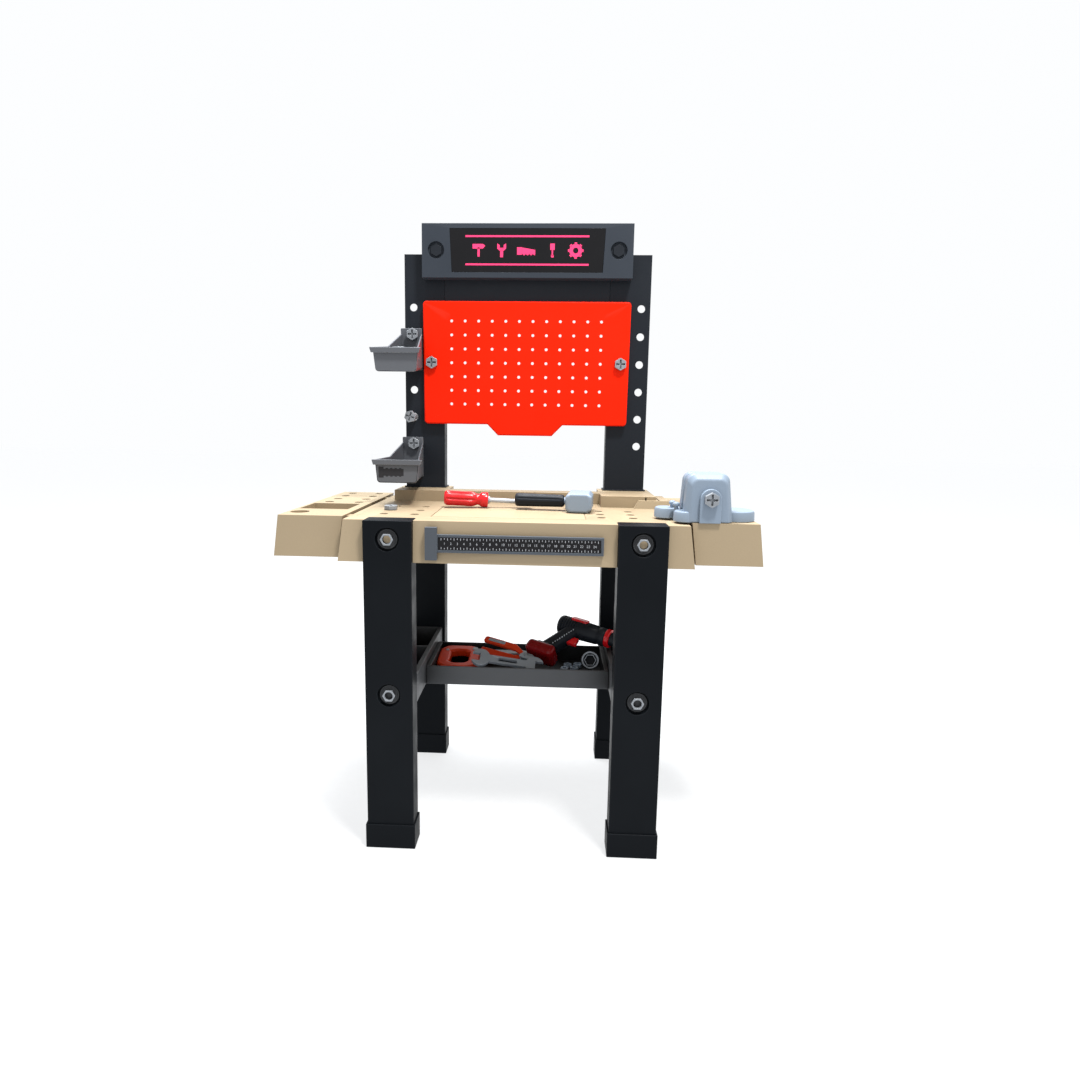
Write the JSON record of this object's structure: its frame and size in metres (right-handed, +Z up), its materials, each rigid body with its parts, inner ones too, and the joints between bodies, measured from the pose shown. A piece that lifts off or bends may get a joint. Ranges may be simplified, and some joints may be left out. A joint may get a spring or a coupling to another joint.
{
  "type": "toy workbench",
  "caption": "Child's plastic workbench: bolted legs, shelf, worktop with side wings, vise, uprights with header, pegboard and bins, and loose toy hand tools.",
  "frame": {"origin": "centre of the bounding box on the floor plane, under the middle of the worktop", "axes": "+X to the right as a child faces the bench, +Y from the front to the back, +Z up"},
  "size_m": [0.747, 0.3704, 1.03],
  "materials": {
    "black": "satin moulded plastic",
    "header": "satin moulded plastic",
    "label": "gloss printed film",
    "board": "satin moulded plastic",
    "beige": "satin moulded plastic",
    "grey": "satin moulded plastic",
    "shelf": "satin moulded plastic",
    "vise": "satin moulded plastic",
    "red": "gloss moulded plastic",
    "orange": "satin moulded plastic",
    "bin": "satin moulded plastic"
  },
  "bodies": {
    "bench": {"leg_front_left": "black", "foot_front_left": "black", "leg_nut_front_left_upper": "grey", "leg_nut_front_left_lower": "grey", "leg_rear_left": "black", "foot_rear_left": "black", "leg_nut_rear_left_upper": "grey", "leg_nut_rear_left_lower": "grey", "leg_front_right": "black", "foot_front_right": "black", "leg_nut_front_right_upper": "grey", "leg_nut_front_right_lower": "grey", "leg_rear_right": "black", "foot_rear_right": "black", "leg_nut_rear_right_upper": "grey", "leg_nut_rear_right_lower": "grey", "worktop": "beige", "wing_left": "beige", "wing_right": "beige", "upright_left": "black", "upright_right": "black", "crossbar": "black", "header": "header", "header_label": "label", "header_plug_left": "black", "shelf_box_left": "shelf", "header_plug_right": "black", "shelf_box_right": "shelf", "pegboard": "board", "shelf_tray": "shelf", "bin_upper": "bin", "bin_lower": "bin", "vise_base": "vise"},
    "square": {"square_frame": "grey", "square_scale": "label"},
    "driver": {"driver_handle": "red", "driver_shaft": "grey"},
    "hammer": {"hammer_handle": "black", "hammer_head": "vise"},
    "saw": {"saw_handle": "orange", "saw_blade": "grey"},
    "wrench": {"wrench": "grey"},
    "pliers_lower": {"pliers_lower_half": "orange"},
    "pliers_upper": {"pliers_upper_half": "orange"},
    "drill": {"drill_housing": "black", "drill_battery": "red", "drill_collar": "red"},
    "drill_trigger": {"drill_trigger": "red"},
    "drill_chuck": {"drill_chuck": "black"},
    "socket": {"socket_driver": "black"},
    "vise_jaw": {"vise_jaw": "vise"},
    "vise_screw": {"vise_screw": "grey"},
    "board_screw_left": {"board_screw_left": "grey"},
    "board_screw_right": {"board_screw_right": "grey"},
    "bin_screw_upper": {"bin_screw_upper": "grey"},
    "bin_screw_lower": {"bin_screw_lower": "grey"},
    "spare_screw": {"spare_screw": "grey"},
    "table_screw": {"table_screw": "grey"},
    "stored_screw": {"stored_screw": "grey"}
  },
  "joints": [
    {"name": "vise_jaw_slide", "type": "slide", "parent": "bench", "child": "vise_jaw", "axis": [0, 1, 0], "range_m": [-0.004, 0.03]},
    {"name": "vise_screw_turn", "type": "hinge", "parent": "bench", "child": "vise_screw", "pos_m": [0.2905, -0.1608, 0.566], "axis": [0, 1, 0], "range_deg": [-1081, 145]},
    {"name": "board_screw_left_turn", "type": "hinge", "parent": "bench", "child": "board_screw_left", "pos_m": [-0.176, 0.1262, 0.7836], "axis": [0, 1, 0], "continuous": true},
    {"name": "board_screw_right_turn", "type": "hinge", "parent": "bench", "child": "board_screw_right", "pos_m": [0.176, 0.1262, 0.7836], "axis": [0, 1, 0], "continuous": true},
    {"name": "bin_screw_upper_turn", "type": "hinge", "parent": "bench", "child": "bin_screw_upper", "pos_m": [-0.2125, 0.1352, 0.8348], "axis": [0, 1, 0], "continuous": true},
    {"name": "bin_screw_lower_turn", "type": "hinge", "parent": "bench", "child": "bin_screw_lower", "pos_m": [-0.2125, 0.1352, 0.632], "axis": [0, 1, 0], "continuous": true},
    {"name": "spare_screw_slide", "type": "slide", "parent": "bench", "child": "spare_screw", "axis": [0.0799, 0.9968, 0], "range_m": [-0.03, 0.012]},
    {"name": "table_screw_lift", "type": "slide", "parent": "bench", "child": "table_screw", "axis": [0, 0, 1], "range_m": [0, 0.06]},
    {"name": "stored_screw_lift", "type": "slide", "parent": "bench", "child": "stored_screw", "axis": [0, 0, 1], "range_m": [0, 0.06]},
    {"name": "square_pull", "type": "slide", "parent": "bench", "child": "square", "axis": [0, -1, 0], "range_m": [0, 0.1]},
    {"name": "driver_lift", "type": "slide", "parent": "bench", "child": "driver", "axis": [0, 0, 1], "range_m": [0, 0.15]},
    {"name": "hammer_lift", "type": "slide", "parent": "bench", "child": "hammer", "axis": [0, 0, 1], "range_m": [0, 0.15]},
    {"name": "saw_lift", "type": "slide", "parent": "bench", "child": "saw", "axis": [0, 0, 1], "range_m": [0, 0.08]},
    {"name": "wrench_lift", "type": "slide", "parent": "bench", "child": "wrench", "axis": [0, 0, 1], "range_m": [0, 0.12]},
    {"name": "pliers_lift", "type": "slide", "parent": "bench", "child": "pliers_lower", "axis": [-0.6, 0, 0.8], "range_m": [0, 0.12]},
    {"name": "pliers_hinge", "type": "hinge", "parent": "pliers_lower", "child": "pliers_upper", "pos_m": [0.013, 0.0072, 0.257], "axis": [-0.1514, -0.5668, 0.8098], "range_deg": [-18, 0]},
    {"name": "drill_lift", "type": "slide", "parent": "bench", "child": "drill", "axis": [0, 0, 1], "range_m": [0, 0.12]},
    {"name": "drill_trigger_press", "type": "slide", "parent": "drill", "child": "drill_trigger", "axis": [-0.8713, 0.4805, 0.0998], "range_m": [0, 0.0045], "stiffness_N_per_m": 300},
    {"name": "drill_chuck_turn", "type": "hinge", "parent": "drill", "child": "drill_chuck", "pos_m": [0.105, 0.0612, 0.294], "axis": [0.8713, -0.4805, -0.0998], "continuous": true},
    {"name": "socket_lift", "type": "slide", "parent": "bench", "child": "socket", "axis": [0, 0, 1], "range_m": [0, 0.12]}
  ],
  "couplings": [
    {"joint": "vise_screw_turn", "follows": "vise_jaw_slide", "rad_per_m": -628.32}
  ]
}
